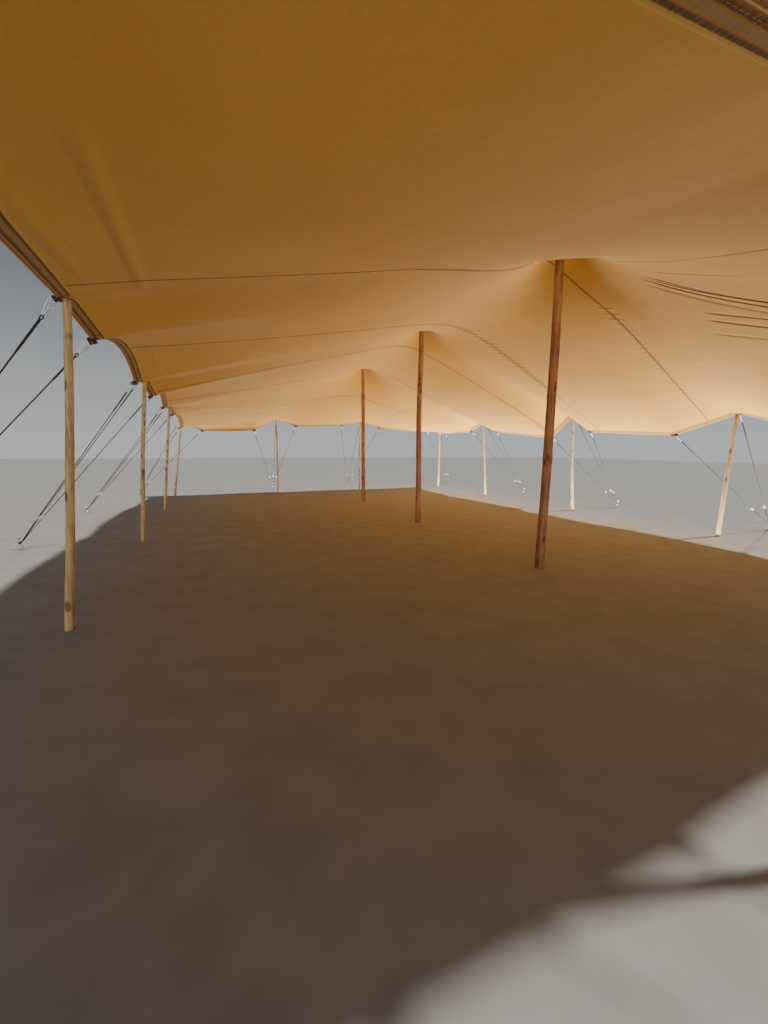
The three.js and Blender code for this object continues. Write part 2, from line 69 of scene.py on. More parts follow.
def add_sun(name, direction, strength, softness, color, shadow=True):
    """A distant soft light. direction points from the tent to the light."""
    data = bpy.data.lights.new(name, "SUN")
    data.energy = strength
    data.angle = math.radians(softness)
    data.color = color
    data.use_shadow = shadow
    lamp = bpy.data.objects.new(name, data)
    lamp.rotation_mode = "QUATERNION"
    lamp.rotation_quaternion = Vector(direction).to_track_quat("Z", "Y")
    bpy.context.scene.collection.objects.link(lamp)


add_sun("key_light", (0.42, -0.05, 0.90), 3.9, 3.0, (1.0, 0.95, 0.88))
add_sun("low_fill", (-0.35, -0.93, -0.12), 1.2, 14.0, (1.0, 0.90, 0.92), shadow=False)


def add_reflector(name, low, high, power, color):
    """A sheet of light on the floor that shines upwards, as sunlit ground does, and isn't seen."""
    data = bpy.data.lights.new(name, "AREA")
    data.shape = "RECTANGLE"
    data.size, data.size_y = high[0] - low[0], high[1] - low[1]
    data.energy = power
    data.color = color
    lamp = bpy.data.objects.new(name, data)
    lamp.location = ((low[0] + high[0]) / 2, (low[1] + high[1]) / 2, 0.03)
    lamp.rotation_mode = "QUATERNION"
    lamp.rotation_quaternion = Vector((0, 0, -1)).to_track_quat("Z", "Y")
    lamp.visible_camera = False
    bpy.context.scene.collection.objects.link(lamp)


add_reflector("right_reflector", (4.1, -4.6), (9.5, 8.0), 2050, (1.0, 0.92, 0.76))
add_reflector("far_reflector", (-4.5, 8.0), (6.5, 13.0), 1200, (1.0, 0.92, 0.76))
add_reflector("left_reflector", (-11.0, 3.0), (-6.0, 8.0), 160, (1.0, 0.90, 0.82))

world = bpy.data.worlds.new("studio")
world.use_nodes = True
sky = world.node_tree.nodes
sky_place = sky.new("ShaderNodeTexCoord")
sky_axes = sky.new("ShaderNodeSeparateXYZ")
sky_shade = sky.new("ShaderNodeValToRGB")
sky_shade.color_ramp.elements[0].position = 0.02
sky_shade.color_ramp.elements[0].color = (0.50, 0.51, 0.52, 1)
sky_shade.color_ramp.elements[1].position = 0.30
sky_shade.color_ramp.elements[1].color = (0.20, 0.22, 0.24, 1)
world.node_tree.links.new(sky_place.outputs["Generated"], sky_axes.inputs[0])
world.node_tree.links.new(sky_axes.outputs["Z"], sky_shade.inputs[0])
world.node_tree.links.new(sky_shade.outputs["Color"], sky["Background"].inputs["Color"])
bpy.context.scene.world = world


class Wire:
    """A shader socket with arithmetic, so that a formula adds its own Math nodes."""

    def __init__(self, finish, socket):
        self.finish = finish
        self.socket = socket

    def maths(self, operation, *values):
        node = self.finish.tree.nodes.new("ShaderNodeMath")
        node.operation = operation
        for slot, value in zip(node.inputs, values):
            self.finish.feed(slot, value)
        return Wire(self.finish, node.outputs[0])

    def __add__(self, other):
        return self.maths("ADD", self, other)

    def __sub__(self, other):
        return self.maths("SUBTRACT", self, other)

    def __rsub__(self, other):
        return self.maths("SUBTRACT", other, self)

    def __mul__(self, other):
        return self.maths("MULTIPLY", self, other)

    def __truediv__(self, other):
        return self.maths("DIVIDE", self, other)

    def __pow__(self, other):
        return self.maths("POWER", self, other)

    __radd__ = __add__

    def absolute(self):
        return self.maths("ABSOLUTE", self)

    def sine(self):
        return self.maths("SINE", self)

    def between(self, low, high):
        """0 below low, 1 above high and smooth between them."""
        inputs = {"Value": self, "From Min": low, "From Max": high}
        return self.finish.add("ShaderNodeMapRange", {"interpolation_type": "SMOOTHSTEP"}, inputs)


class Finish:
    """One material and the nodes that make it."""

    def __init__(self, name):
        self.material = bpy.data.materials.new(name)
        self.material.use_nodes = True
        self.tree = self.material.node_tree
        self.tree.nodes.clear()

    def feed(self, slot, value):
        if isinstance(value, Wire):
            self.tree.links.new(value.socket, slot)
        else:
            slot.default_value = value

    def add(self, kind, settings, inputs, output=0):
        """Adds a node. settings come first, as they can change its sockets."""
        node = self.tree.nodes.new(kind)
        for key, value in settings.items():
            if key == "stops":
                while len(node.color_ramp.elements) < len(value):
                    node.color_ramp.elements.new(0.5)
                for element, (position, color) in zip(node.color_ramp.elements, value):
                    element.position = position
                    element.color = (*color, 1)
            else:
                setattr(node, key, value)
        for key, value in inputs.items():
            self.feed(node.inputs[key], value)
        return Wire(self, node.outputs[output])

    def coordinates(self, stretch=(1, 1, 1)):
        place = self.add("ShaderNodeTexCoord", {}, {}, "Object")
        return self.add("ShaderNodeMapping", {}, {"Vector": place, "Scale": stretch})

    def noise(self, place, scale, detail=3.0, roughness=0.5):
        inputs = {"Vector": place, "Scale": scale, "Detail": detail, "Roughness": roughness}
        return self.add("ShaderNodeTexNoise", {}, inputs)

    def blend(self, share, first, second):
        """A mix of two colours, all first where share is 0 and all second where it is 1. The Mix
        node takes colours at sockets 6 and 7 and gives one at socket 2."""
        node = self.tree.nodes.new("ShaderNodeMix")
        node.data_type = "RGBA"
        self.feed(node.inputs[0], share)
        self.feed(node.inputs[6], first)
        self.feed(node.inputs[7], second)
        return Wire(self, node.outputs[2])

    def bump(self, height, distance, strength=1.0):
        inputs = {"Height": height, "Distance": distance, "Strength": strength}
        return self.add("ShaderNodeBump", {}, inputs)

    def surface(self, wire):
        output = self.tree.nodes.new("ShaderNodeOutputMaterial")
        self.tree.links.new(wire.socket, output.inputs["Surface"])
        return self.material

    def plain_surface(self, inputs):
        return self.surface(self.add("ShaderNodeBsdfPrincipled", {}, inputs))


def floor_paint():
    finish = Finish("floor_paint")
    shade = finish.noise(finish.coordinates(), 3.0).between(0.3, 0.7)
    color = finish.blend(shade, (0.27, 0.266, 0.26, 1), (0.31, 0.305, 0.30, 1))
    return finish.plain_surface({"Base Color": color, "Roughness": 0.9})


def mesh_object(name, work, material):
    """The finished bmesh as an object with its place in its mesh."""
    mesh = bpy.data.meshes.new(name)
    work.to_mesh(mesh)
    work.free()
    mesh.materials.append(material)
    made = bpy.data.objects.new(name, mesh)
    bpy.context.scene.collection.objects.link(made)
    return made


FLOOR_HALF = 60.0
floor_work = bmesh.new()
bmesh.ops.create_grid(floor_work, x_segments=1, y_segments=1, size=FLOOR_HALF)
floor = mesh_object("floor", floor_work, floor_paint())

# Canopy.
# One sheet of coated stretch fabric, sewn from six panels. It is pulled over three king poles
# and fourteen edge poles and held down by clamps on its hem, and takes the shape of least strain.
KING_X = 0.36
KING_ROWS = [-3.7, 0.0, 3.7]
KING_HEIGHT = 4.05
LEFT_EDGE = -4.82
RIGHT_EDGE = 5.08
NEAR_EDGE = -7.20
FAR_EDGE = 7.19
FABRIC = 0.002
CAP_HALF = 0.10
PATCH_DEPTH = 0.12
NET_STEP = 0.24
TENSION_ACROSS, TENSION_ALONG = 1.6, 0.10
SPINE_TENSION, SPINE_WIDTH = 7.0, 1.2
RIDGE_TENSION, VALLEY_TENSION = 2.0, 1.2
OVER_RELAX = 1.93
ROUNDING = 1e-6


class HemPoint:
    """A point that holds the hem: how far along its side it lies, its height and its inset.
    kind is pole or clamp, and rise and bow shape the free hem from here to the next point."""

    def __init__(self, kind, along, height, inset, rise=0.0, bow=0.0):
        self.kind = kind
        self.along = along
        self.height = height
        self.inset = inset
        self.rise = rise
        self.bow = bow


def pole(along, height, inset):
    return HemPoint("pole", along, height, inset)


def clamp(along, height, inset, rise=0.0, bow=0.0):
    return HemPoint("clamp", along, height, inset, rise, bow)


LEFT_HEM = [
    pole(-7.20, 2.56, 0.0), clamp(-6.50, 2.54, 0.10, 0.06, 0.06),
    clamp(-5.20, 2.68, 0.19), pole(-3.70, 2.78, 0.06), clamp(-2.97, 2.63, 0.10, 0.22, 0.03),
    clamp(-0.55, 2.57, 0.04), pole(0.00, 2.69, 0.04), clamp(0.65, 2.50, 0.08, 0.22, 0.03),
    clamp(3.05, 2.52, 0.0), pole(3.70, 2.60, 0.02), clamp(4.35, 2.45, 0.06, 0.12, 0.05),
    clamp(6.52, 2.20, 0.04), pole(7.19, 2.46, 0.0),
]
RIGHT_HEM = [
    pole(-7.20, 2.40, 0.10), clamp(-6.50, 2.10, 0.22, 0.04, 0.08),
    clamp(-4.35, 1.95, 0.20), pole(-3.35, 2.26, 0.0), clamp(-2.40, 1.90, 0.22, 0.0, 0.06),
    clamp(-0.45, 2.03, 0.30), pole(0.10, 2.48, 0.28), clamp(0.80, 1.92, 0.30, 0.0, 0.06),
    clamp(3.15, 2.16, 0.34), pole(3.80, 2.50, 0.38), clamp(4.60, 2.21, 0.32, 0.0, 0.06),
    clamp(6.50, 2.20, 0.24), pole(7.19, 2.32, 0.14),
]
NEAR_HEM = [
    pole(-4.82, 2.56, 0.0), clamp(-4.17, 2.52, 0.02, 0.02, 0.0),
    clamp(-2.05, 2.62, 0.0), pole(-1.40, 2.75, 0.0), clamp(-0.75, 2.55, 0.04, 0.04, 0.05),
    clamp(0.80, 2.45, 0.06), pole(1.42, 2.62, 0.0), clamp(2.08, 2.40, 0.06, 0.04, 0.06),
    clamp(4.30, 2.20, 0.06), pole(5.08, 2.40, 0.0),
]
FAR_HEM = [
    pole(-4.82, 2.46, 0.0), clamp(-4.15, 2.16, 0.06, -0.02, 0.05),
    clamp(-2.50, 2.20, 0.06), pole(-1.73, 2.60, 0.0), clamp(-1.04, 2.38, 0.06, -0.02, 0.04),
    clamp(0.66, 2.45, 0.06), pole(1.42, 2.60, 0.0), clamp(2.18, 2.39, 0.06, -0.02, 0.05),
    clamp(4.30, 2.29, 0.06), pole(5.08, 2.32, 0.0),
]


def hem_shape(places, points):
    """Height and inset of the hem at places along one side."""
    along = [point.along for point in points]
    height = np.interp(places, along, [point.height for point in points])
    inset = np.interp(places, along, [point.inset for point in points])
    for before, after in zip(points, points[1:]):
        share = np.clip((places - before.along) / (after.along - before.along), 0, 1)
        arch = 4 * share * (1 - share)
        height += before.rise * arch
        inset += before.bow * arch
    return height, inset


def net_lines(marks, step):
    """Net lines through the marks that lie well apart, with wide bays divided evenly."""
    first, *others, last = sorted(marks)
    spread = [first]
    spread += [mark for mark in others if last - mark > step / 3]
    marks = [spread[0]]
    for mark in spread[1:]:
        if mark - marks[-1] > step / 3:
            marks.append(mark)
    marks.append(last)
    lines = [np.array(marks[:1])]
    for low, high in zip(marks, marks[1:]):
        parts = max(1, math.ceil((high - low) / step))
        lines.append(np.linspace(low, high, parts + 1)[1:])
    return np.concatenate(lines)


def halved(values):
    """The same curve or sheet with a new line halfway between each two, along its first axis."""
    ends = [2 * values[:1] - values[1:2], values, 2 * values[-1:] - values[-2:-1]]
    padded = np.concatenate(ends)
    middle = (9 * (padded[1:-2] + padded[2:-1]) - padded[:-3] - padded[3:]) / 16
    finer = np.empty((2 * len(values) - 1, *values.shape[1:]))
    finer[0::2] = values
    finer[1::2] = middle
    return finer


def hold_net(net, xs, ys):
    """Moves the held points to their places and returns a mask of them."""
    held = np.zeros(net.shape[:2], bool)
    grid_x, grid_y = np.meshgrid(xs, ys)
    for column, sign, edge, points in ((0, -1, LEFT_EDGE, LEFT_HEM), (-1, 1, RIGHT_EDGE, RIGHT_HEM)):
        height, inset = hem_shape(ys, points)
        net[:, column, 0] = edge - sign * inset
        net[:, column, 1] = ys
        net[:, column, 2] = height
        held[:, column] = True
    for row, sign, edge, points in ((0, -1, NEAR_EDGE, NEAR_HEM), (-1, 1, FAR_EDGE, FAR_HEM)):
        height, inset = hem_shape(xs, points)
        net[row, 1:-1, 1] = (edge - sign * inset)[1:-1]
        net[row, 1:-1, 2] = height[1:-1]
        held[row, :] = True
    pole_tops = []
    for edge, points in ((LEFT_EDGE, LEFT_HEM), (RIGHT_EDGE, RIGHT_HEM)):
        pole_tops += [(edge, point.along, point.height) for point in points if point.kind == "pole"]
    for edge, points in ((NEAR_EDGE, NEAR_HEM), (FAR_EDGE, FAR_HEM)):
        inner = [point for point in points[1:-1] if point.kind == "pole"]
        pole_tops += [(point.along, edge, point.height) for point in inner]
    for x, y, height in pole_tops:
        patch = np.hypot(grid_x - x, grid_y - y) < PATCH_DEPTH + ROUNDING
        net[patch & ~held, 2] = height
        held |= patch
    reach = CAP_HALF + ROUNDING
    for y in KING_ROWS:
        cap = (np.abs(grid_x - KING_X) < reach) & (np.abs(grid_y - y) < reach)
        net[cap, 0] = grid_x[cap]
        net[cap, 1] = grid_y[cap]
        net[cap, 2] = KING_HEIGHT
        held |= cap
    return held


def relax(net, xs, ys, sweeps):
    """Moves each free point to the balance point of its threads until the net rests."""
    held = hold_net(net, xs, ys)
    step_x, step_y = np.diff(xs), np.diff(ys)
    share_x = (np.append(step_x, 0) + np.insert(step_x, 0, 0)) / 2
    share_y = (np.append(step_y, 0) + np.insert(step_y, 0, 0)) / 2
    pull_x = TENSION_ACROSS * share_y[:, None] * np.ones(len(step_x))[None, :]
    along = TENSION_ALONG + SPINE_TENSION * np.exp(-((xs - KING_X) / SPINE_WIDTH) ** 2)
    pull_y = (along * share_x)[None, :] * np.ones(len(step_y))[:, None]
    ridge_rows = np.any([np.abs(ys - row) < CAP_HALF + ROUNDING for row in KING_ROWS], axis=0)
    pull_x += (RIDGE_TENSION * 2 / max(ridge_rows.sum() / len(KING_ROWS), 1)) * ridge_rows[:, None]
    middle_x = (xs[1:] + xs[:-1]) / 2
    for side, points in ((middle_x < KING_X, LEFT_HEM), (middle_x > KING_X, RIGHT_HEM)):
        for point in points:
            if point.kind == "clamp":
                pull_x[np.argmin(np.abs(ys - point.along)), :] += VALLEY_TENSION * side
    middle_y = (ys[1:] + ys[:-1]) / 2
    for side, points in ((middle_y < KING_ROWS[0], NEAR_HEM), (middle_y > KING_ROWS[2], FAR_HEM)):
        for point in points[1:-1]:
            tension = VALLEY_TENSION if point.kind == "clamp" else RIDGE_TENSION * 2
            pull_y[:, np.argmin(np.abs(xs - point.along))] += tension * side
    pull_x /= step_x[None, :]
    pull_y /= step_y[:, None]
    west = np.pad(pull_x, ((0, 0), (1, 0)))
    east = np.pad(pull_x, ((0, 0), (0, 1)))
    south = np.pad(pull_y, ((1, 0), (0, 0)))
    north = np.pad(pull_y, ((0, 1), (0, 0)))
    total = west + east + south + north
    west, east, south, north = [(pull / total)[:, :, None] for pull in (west, east, south, north)]
    rows, columns = np.indices(held.shape)
    free = [((rows + columns) % 2 == parity) & ~held for parity in (0, 1)]
    for _ in range(sweeps):
        for mask in free:
            wide = np.pad(net, ((1, 1), (1, 1), (0, 0)))
            target = west * wide[1:-1, :-2] + east * wide[1:-1, 2:]
            target += south * wide[:-2, 1:-1] + north * wide[2:, 1:-1]
            net[mask] += OVER_RELAX * (target[mask] - net[mask])
    return net


cross_marks = {LEFT_EDGE, RIGHT_EDGE, KING_X - CAP_HALF, KING_X + CAP_HALF}
cross_marks |= {point.along for point in (*NEAR_HEM[1:-1], *FAR_HEM[1:-1])}
long_marks = {NEAR_EDGE, FAR_EDGE}
long_marks |= {y + side * CAP_HALF for y in KING_ROWS for side in (-1, 1)}
long_marks |= {point.along for point in (*LEFT_HEM[1:-1], *RIGHT_HEM[1:-1])}
net_x = net_lines(cross_marks, NET_STEP)
net_y = net_lines(long_marks, NET_STEP)
net = np.stack([*np.meshgrid(net_x, net_y), np.full((len(net_y), len(net_x)), 3.0)], axis=2)
net = relax(net, net_x, net_y, 400)
for sweeps in (250, 200):
    net_x, net_y = halved(net_x), halved(net_y)
    net = halved(halved(net).transpose(1, 0, 2)).transpose(1, 0, 2)
    net = relax(net, net_x, net_y, sweeps)


def sheet_mesh(name, points, flat, thickness, material):
    """A sheet through a grid of points, closed to a thin solid round its middle. flat has the
    place of each point before the sheet was hung, which becomes its UV map in metres."""
    rows, columns = points.shape[:2]
    work = bmesh.new()
    bmesh.ops.create_grid(work, x_segments=columns - 1, y_segments=rows - 1, size=1)
    made = mesh_object(name, work, material)
    mesh = made.data
    start = np.array([vertex.co[:] for vertex in mesh.vertices])
    order = np.lexsort((start[:, 0].round(6), start[:, 1].round(6)))
    values = np.empty((rows * columns, 3), np.float32)
    values[order] = points.reshape(-1, 3)
    mesh.vertices.foreach_set("co", values.ravel())
    laid = np.empty((rows * columns, 2), np.float32)
    laid[order] = flat.reshape(-1, 2)
    corner = np.empty(len(mesh.loops), int)
    mesh.loops.foreach_get("vertex_index", corner)
    layer = mesh.uv_layers.new(name="laid_out")
    layer.data.foreach_set("uv", laid[corner].ravel())
    mesh.update()
    for polygon in mesh.polygons:
        polygon.use_smooth = True
    solid = made.modifiers.new("thickness", "SOLIDIFY")
    solid.thickness = thickness
    solid.offset = 0
    return made


class Spot:
    """Where a point lies in plan or on a UV map, as shader sockets."""

    def __init__(self, finish, place):
        split = finish.tree.nodes.new("ShaderNodeSeparateXYZ")
        finish.feed(split.inputs[0], place)
        self.x = Wire(finish, split.outputs[0])
        self.y = Wire(finish, split.outputs[1])

    def fold(self, start, end, width):
        """A pinched fold from start to end, 1 on its line and fading beside it and at its ends."""
        length = math.dist(start, end)
        way = ((end[0] - start[0]) / length, (end[1] - start[1]) / length)
        dx, dy = self.x - start[0], self.y - start[1]
        along = (dx * way[0] + dy * way[1]) / length
        beside = dx * way[1] - dy * way[0]
        line = 1.0 - beside.absolute().between(0.0, width)
        return line * along.between(0.0, 0.14) * (1.0 - along.between(0.6, 1.0))

    def fan(self, middle, toward, spread, reach, count, crooked):
        """Fine puckers that run out from middle, over a spread of angles about toward."""
        dx, dy = self.x - middle[0], self.y - middle[1]
        turned_x = dx * math.cos(toward) + dy * math.sin(toward)
        turned_y = dy * math.cos(toward) - dx * math.sin(toward)
        angle = turned_y.maths("ARCTAN2", turned_y, turned_x)
        radius = (dx * dx + dy * dy) ** 0.5
        ripple = (angle * count + crooked * 6.0).sine()
        inside = 1.0 - angle.absolute().between(spread * 0.4, spread)
        start = radius.between(reach[0], reach[0] * 1.6)
        return ripple * inside * start * (1.0 - radius.between(*reach[1:]))

    def beside_seam(self, left_end, right_end):
        """How far the point lies to either side of a seam that is straight on the cut sheet."""
        slope = (right_end - left_end) / (RIGHT_EDGE - LEFT_EDGE)
        return (self.y - (left_end + (self.x - LEFT_EDGE) * slope)).absolute()


# Where each seam meets the left and the right edge of the cut sheet
SEAM_ENDS = [(-4.02, -2.95), (-1.75, -0.80), (0.52, 0.72), (2.72, 2.86), (4.88, 4.96)]
# Folds near the first king pole: start and end in plan, half width and how strong the fold is, in its bump
# and in its painted shade
FOLDS = [
    ((0.69, -4.46), (1.95, -6.36), 0.038, 1.0), ((0.74, -4.40), (1.87, -6.40), 0.030, 0.8),
    ((0.78, -4.40), (2.06, -6.32), 0.036, 0.95), ((0.86, -4.36), (2.24, -6.26), 0.055, 0.45),
    ((1.50, -4.70), (1.92, -5.85), 0.040, 0.75), ((1.66, -4.62), (2.16, -5.80), 0.045, 0.85),
    ((1.98, -4.50), (2.42, -5.70), 0.040, 0.45), ((0.61, -4.70), (0.58, -5.75), 0.026, 0.55),
    ((0.41, -4.40), (-0.16, -5.75), 0.026, 0.75), ((-0.10, -5.60), (-0.48, -6.60), 0.026, 0.6),
]
# Soft creases beside the left hem: start and end in plan and half width
CREASES = [
    ((-4.02, -6.20), (-4.14, -3.50), 0.070), ((-4.40, -6.30), (-4.46, -3.95), 0.075),
]
# Fans of fine puckers: middle in plan, the angle they run toward, its spread, where they start,
# begin to fade and end, and how many they are in a turn
PUCKERS = [
    ((KING_X, 0.0), 2.60, 0.8, (0.30, 0.7, 1.2), 64.0),
    ((KING_X, 3.70), 2.40, 0.8, (0.30, 0.8, 1.3), 64.0),
    ((-1.73, 7.19), -1.40, 0.9, (0.15, 0.7, 1.5), 40.0),
    ((5.00, -5.40), 2.60, 0.8, (0.30, 2.2, 3.8), 54.0),
]


def tent_fabric():
    """Tan stretch fabric with its folds and creases, its puckers and its gathers at the seams. Shade is
    painted into the colour of the folds, the gathers and a row of puckers on the second seam.
    """
    finish = Finish("tent_fabric")
    place = finish.coordinates()
    spot = Spot(finish, place)
    cloud = finish.noise(place, 0.7, 4.0)
    slack = finish.noise(place, 2.6, 5.0, 0.55)
    grain = finish.noise(place, 420.0, 2.0)
    knit = finish.noise(finish.coordinates((1.0, 0.3, 1.0)), 80.0, 3.0)
    folds = 0.0
    for start, end, width, depth in FOLDS:
        folds = spot.fold(start, end, width) * depth + folds
    creases = 0.0
    for start, end, width in CREASES:
        creases = spot.fold(start, end, width) + creases
    cut = finish.add("ShaderNodeUVMap", {"uv_map": "laid_out"}, {})
    cut_spot = Spot(finish, cut)
    some_way = finish.noise(cut, 0.9, 1.0).between(0.44, 0.58)
    wave = (cut_spot.x * 46.0 + cut_spot.y * 30.0 + slack * 3.0).sine()
    gathers = wave.between(0.0, 0.9) * some_way
    beside_seams = 0.0
    for ends in SEAM_ENDS:
        beside_seams = 1.0 - cut_spot.beside_seam(*ends).between(0.01, 0.09) + beside_seams
    gathered = gathers * beside_seams
    # A row of puckers on the second seam, made only as painted shade, with no bump
    on_seam = 1.0 - cut_spot.beside_seam(*SEAM_ENDS[1]).between(0.05, 0.13)
    on_seam = on_seam * cut_spot.x.between(-0.4, 0.3) * (1.0 - cut_spot.x.between(2.6, 3.6))
    seam_pucker_shade = wave.between(0.1, 0.7) * on_seam
    puckers = 0.0
    for middle, toward, spread, reach, count in PUCKERS:
        puckers = spot.fan(middle, toward, spread, reach, count, slack) + puckers
    weave = grain * 0.7 + knit * 0.3
    ripples = finish.noise(finish.coordinates((9.0, 0.7, 1.0)), 1.0, 3.0)
    from_edge = spot.x - LEFT_EDGE
    beside_hem = from_edge.between(0.04, 0.16) * (1.0 - from_edge.between(0.30, 0.75))
    base = finish.blend(cloud.between(0.3, 0.7), (0.57, 0.285, 0.038, 1), (0.62, 0.320, 0.050, 1))
    speckled = finish.blend(weave.between(0.35, 0.65) * 0.28, base, (0.68, 0.42, 0.13, 1))
    # Painted shade: the folds, the gathers and the seam's puckers darken the colour towards a deep brown
    shadowed = folds * 0.9 + gathered * 0.20 + seam_pucker_shade * 0.55
    color = finish.blend(shadowed, speckled, (0.18, 0.072, 0.008, 1))
    height = slack * 0.010 - folds * 0.016 + puckers * 0.0012 + weave * 0.0005
    height = ripples * beside_hem * 0.022 + gathered * 0.006 + creases * 0.012 + height
    normal = finish.bump(height, 1.0)
    inputs = {"Base Color": color, "Roughness": 0.75, "Specular IOR Level": 0.20, "Normal": normal}
    cloth = finish.add("ShaderNodeBsdfPrincipled", {}, inputs)
    glow = finish.add("ShaderNodeBsdfTranslucent", {}, {"Color": (1.0, 0.47, 0.03, 1), "Normal": normal})
    mixed = finish.add("ShaderNodeMixShader", {}, {0: 0.03, 1: cloth, 2: glow})
    return finish.surface(mixed)


flat_net = np.stack(np.meshgrid(net_x, net_y), axis=2)
canopy = sheet_mesh("canopy_cloth", net, flat_net, FABRIC, tent_fabric())
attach(canopy, "root")
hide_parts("canopy")

# Hem and seams.
# The edge is folded in and sewn down over a cord, and the panels overlap in sewn seams. Both
# show on both sides of the sheet.
HEM_WIDTH = 0.13
HEM_FABRIC = 0.007
SEAM_WIDTH = 0.021
SEAM_FABRIC = 0.005
INWARDS = 0.15


def sheet_point(across, along):
    """The places on the mounted sheet of points given by where they lie on the cut sheet."""
    column = np.interp(across, net_x, np.arange(len(net_x)))
    row = np.interp(along, net_y, np.arange(len(net_y)))
    west = np.minimum(column.astype(int), len(net_x) - 2)
    south = np.minimum(row.astype(int), len(net_y) - 2)
    a = (column - west)[..., None]
    b = (row - south)[..., None]
    lower = net[south, west] * (1 - a) + net[south, west + 1] * a
    upper = net[south + 1, west] * (1 - a) + net[south + 1, west + 1] * a
    return lower * (1 - b) + upper * b


def unrolled(points):
    """Where a strip's points lie in metres, across its columns and along its rows."""
    rows, columns = points.shape[:2]
    along = np.linalg.norm(np.diff(points[:, columns // 2], axis=0), axis=1).cumsum()
    across = np.linalg.norm(np.diff(points[rows // 2], axis=0), axis=1).cumsum()
    return np.stack(np.meshgrid(np.insert(across, 0, 0), np.insert(along, 0, 0)), axis=2)


def trim_fabric(name, lines, bands):
    """Fabric sewn double. lines are the rows of stitches, and bands the colour stops, some of them painted
    shade, both at their distances from its edge."""
    finish = Finish(name)
    laid = finish.add("ShaderNodeUVMap", {"uv_map": "laid_out"}, {})
    spot = Spot(finish, laid)
    across, along = spot.x, spot.y
    grain = finish.noise(finish.coordinates(), 420.0, 2.0)
    dash = (along * 260.0).sine().between(-0.4, 0.1)
    stitch = 0.0
    for line in lines:
        on_line = 1.0 - (across - line).absolute().between(0.0006, 0.0016)
        stitch = on_line * dash + stitch
    drawn_out = finish.add("ShaderNodeMapping", {}, {"Vector": laid, "Scale": (18, 90, 1)})
    puckers = finish.noise(drawn_out, 1.0, 3.0)
    width = bands[-1][0]
    stops = [(place / width, shade) for place, shade in bands]
    wander = (puckers - 0.5) * 0.05
    base = finish.add("ShaderNodeValToRGB", {"stops": stops}, {"Fac": across / width + wander})
    # The puckers' noise, which also makes their bump, streaks the colour towards a mid brown
    streaked = finish.blend(puckers.between(0.35, 0.75) * 0.3, base, (0.50, 0.29, 0.085, 1))
    color = finish.blend(stitch * 0.5, streaked, (0.58, 0.38, 0.14, 1))
    height = puckers * 0.6 + grain * 0.15 - stitch * 0.5
    normal = finish.bump(height, 0.004, 0.8)
    inputs = {"Base Color": color, "Roughness": 0.8, "Specular IOR Level": 0.15, "Normal": normal}
    return finish.plain_surface(inputs)


RED_BROWN, DARK_BROWN, MID_BROWN = (0.27, 0.100, 0.028), (0.11, 0.042, 0.012), (0.38, 0.185, 0.040)
GOLDEN, GREY_BROWN, PALE_CORD = (0.62, 0.340, 0.075), (0.30, 0.190, 0.085), (0.66, 0.45, 0.20)
# The hem's dark brown band from 0.102 to 0.112 m, by its inner edge, is painted shade along the fold
hem_finish = trim_fabric("hem_fabric", [0.012, 0.050, 0.120], [
    (0.0, GOLDEN), (0.007, PALE_CORD), (0.010, RED_BROWN), (0.024, RED_BROWN), (0.028, PALE_CORD),
    (0.033, RED_BROWN), (0.046, DARK_BROWN), (0.056, DARK_BROWN), (0.062, MID_BROWN),
    (0.075, GREY_BROWN), (0.094, MID_BROWN), (0.102, DARK_BROWN), (0.112, DARK_BROWN),
    (0.118, GOLDEN), (HEM_WIDTH, GOLDEN),
])
seam_finish = trim_fabric("seam_fabric", [0.004, 0.017], [
    (0.0, DARK_BROWN), (0.006, RED_BROWN), (0.010, MID_BROWN), (0.015, RED_BROWN),
    (SEAM_WIDTH, DARK_BROWN),
])
trims = []
across_steps = np.linspace(-0.003, HEM_WIDTH, 14)
fine_x, fine_y = halved(net_x), halved(net_y)
for name, across, along, right, up in (
    ("hem_left", net_x[0], fine_y, INWARDS, 0.0), ("hem_right", net_x[-1], fine_y, -INWARDS, 0.0),
    ("hem_near", fine_x, net_y[0], 0.0, INWARDS), ("hem_far", fine_x, net_y[-1], 0.0, -INWARDS),
):
    across, along = np.broadcast_arrays(across, along)
    edge = sheet_point(across, along)
    inwards = sheet_point(across + right, along + up) - edge
    inwards /= np.linalg.norm(inwards, axis=1)[:, None]
    rows = edge[:, None, :] + inwards[:, None, :] * across_steps[None, :, None]
    trims.append(sheet_mesh(name, rows, unrolled(rows), HEM_FABRIC, hem_finish))

offsets = np.linspace(-SEAM_WIDTH / 2, SEAM_WIDTH / 2, 5)
for number, ends in enumerate(SEAM_ENDS, 1):
    across = np.linspace(net_x[0], net_x[-1], 500)
    along = np.interp(across, [net_x[0], net_x[-1]], ends)
    rows = np.stack([sheet_point(across, along + offset) for offset in offsets], axis=1)
    trims.append(sheet_mesh(f"seam_{number}", rows, unrolled(rows), SEAM_FABRIC, seam_finish))

for trim in trims:
    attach(trim, "root")
pole_names = [f"king_pole_{number}" for number in (1, 2, 3)]
pole_names += [f"edge_pole_{side}_{number}" for side in ("left", "right") for number in range(1, 6)]
pole_names += [f"edge_pole_{side}_{number}" for side in ("near", "far") for number in (1, 2)]

# King poles.
# Three peeled round logs, reddish brown and a little crooked, stand upright under the middle of
# the sheet on sawn ends.
KING_RADII = (0.063, 0.052)
KING_BOW = 0.022


